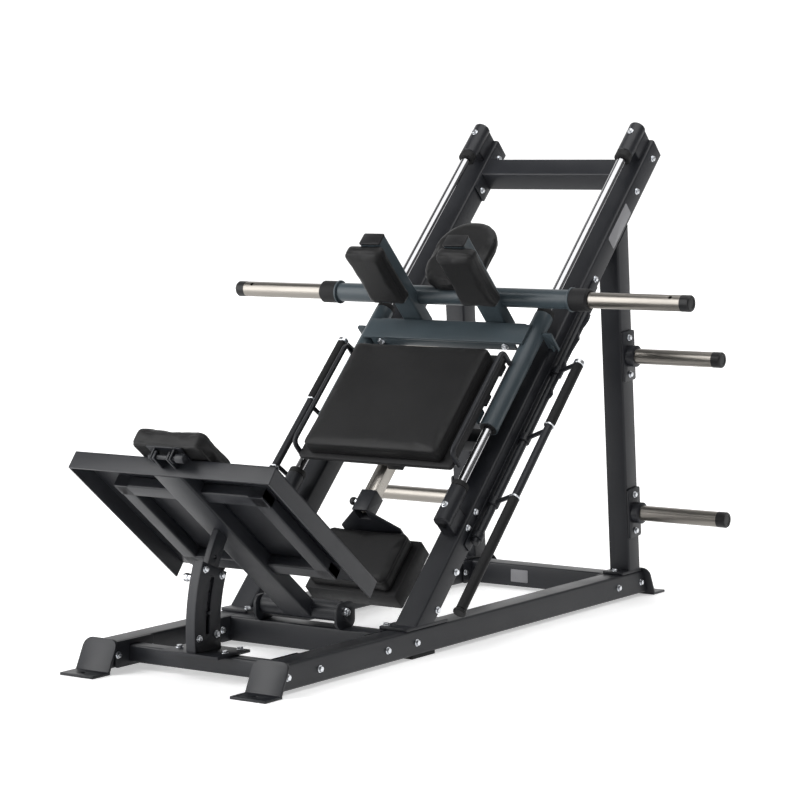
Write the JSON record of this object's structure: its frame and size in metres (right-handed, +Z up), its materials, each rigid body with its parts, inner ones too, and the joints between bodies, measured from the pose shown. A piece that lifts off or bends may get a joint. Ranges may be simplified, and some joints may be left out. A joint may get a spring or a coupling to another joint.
{
  "type": "leg press machine",
  "caption": "Plate-loaded 45 degree leg press and hack squat machine with a padded sled on guide rods, safety bars, sliding seat and tilting platform.",
  "frame": {"origin": "on the floor, under the middle of the machine", "axes": "+Z up, +Y from the tilting platform towards the rear posts, +X to the right seen from the platform's end"},
  "size_m": [1.694, 2.224, 1.5637],
  "materials": {
    "frame_black": "satin black powder coat",
    "sled_blue": "satin blue-grey powder coat",
    "chrome": "polished hard chrome",
    "nickel": "brushed, slightly warm",
    "vinyl": "matt black vinyl upholstery",
    "rubber": "matt black rubber",
    "board_black": "plywood painted matt black"
  },
  "bodies": {
    "frame": {"front_cross_tube": "frame_black", "rear_cross_tube": "frame_black", "pivot_cross_tube": "frame_black", "pivot_pin": "chrome", "upper_cross_tube": "frame_black", "seat_rail": "nickel", "seat_rail_support": "frame_black", "selector_post": "frame_black", "rail_left": "frame_black", "upright_left": "frame_black", "guide_rod_left": "chrome", "bumper_left": "rubber", "rear_post_left": "frame_black", "safety_rail_left": "frame_black", "storage_horn_upper_left": "nickel", "storage_horn_lower_left": "nickel", "rail_right": "frame_black", "upright_right": "frame_black", "guide_rod_right": "chrome", "bumper_right": "rubber", "rear_post_right": "frame_black", "safety_rail_right": "frame_black", "storage_horn_upper_right": "nickel", "storage_horn_lower_right": "nickel"},
    "sled": {"sled_cross_plate": "sled_blue", "sled_cross_tube": "sled_blue", "sled_lower_tube": "sled_blue", "horn_tube": "sled_blue", "head_pad": "vinyl", "head_pad_bracket": "sled_blue", "back_pad": "vinyl", "back_board": "board_black", "slide_tube_left": "sled_blue", "linear_bearing_left": "rubber", "horn_sleeve_left": "nickel", "shoulder_post_left": "sled_blue", "shoulder_pad_left": "vinyl", "side_handle_left": "frame_black", "slide_tube_right": "sled_blue", "linear_bearing_right": "rubber", "horn_sleeve_right": "nickel", "shoulder_post_right": "sled_blue", "shoulder_pad_right": "vinyl", "side_handle_right": "frame_black"},
    "safety_bar_left": {"safety_bar_left": "frame_black", "upper_grip_left": "rubber", "lower_grip_left": "rubber"},
    "safety_bar_right": {"safety_bar_right": "frame_black", "upper_grip_right": "rubber", "lower_grip_right": "rubber"},
    "platform": {"platform_plate": "frame_black", "platform_frame": "frame_black", "selector_strut": "frame_black"},
    "headrest": {"headrest_pad": "vinyl", "headrest_bracket": "frame_black"},
    "seat": {"seat_pad": "vinyl", "seat_base": "board_black", "seat_yoke": "frame_black"},
    "seat_pin": {"seat_pin": "chrome"},
    "selector_pin": {"selector_pin": "chrome"}
  },
  "joints": [
    {"name": "sled_slide", "type": "slide", "parent": "frame", "child": "sled", "axis": [0, 0.7071, 0.7071], "range_m": [-0.212, 0.66]},
    {"name": "safety_bar_left_turn", "type": "hinge", "parent": "frame", "child": "safety_bar_left", "pos_m": [-0.36, 0.17024, 0.55321], "axis": [0, 0.7071, 0.7071], "range_deg": [-54, 0]},
    {"name": "safety_bar_right_turn", "type": "hinge", "parent": "frame", "child": "safety_bar_right", "pos_m": [0.36, 0.17024, 0.55321], "axis": [0, -0.7071, -0.7071], "range_deg": [-12, 42]},
    {"name": "platform_tilt", "type": "hinge", "parent": "frame", "child": "platform", "pos_m": [0, -0.4475, 0.133], "axis": [-1, 0, 0], "range_deg": [-6, 11]},
    {"name": "headrest_fold", "type": "hinge", "parent": "platform", "child": "headrest", "pos_m": [0, -1.08894, 0.63415], "axis": [1, 0, 0], "range_deg": [0, 120]},
    {"name": "seat_slide", "type": "slide", "parent": "frame", "child": "seat", "axis": [0, 0.7071, 0.7071], "range_m": [0, 0.12]},
    {"name": "seat_pin_pull", "type": "slide", "parent": "seat", "child": "seat_pin", "axis": [-1, 0, 0], "range_m": [0, 0.012], "stiffness_N_per_m": 800, "springref_m": -0.004},
    {"name": "selector_pin_pull", "type": "slide", "parent": "frame", "child": "selector_pin", "axis": [-1, 0, 0], "range_m": [0, 0.014], "stiffness_N_per_m": 800, "springref_m": -0.004}
  ]
}
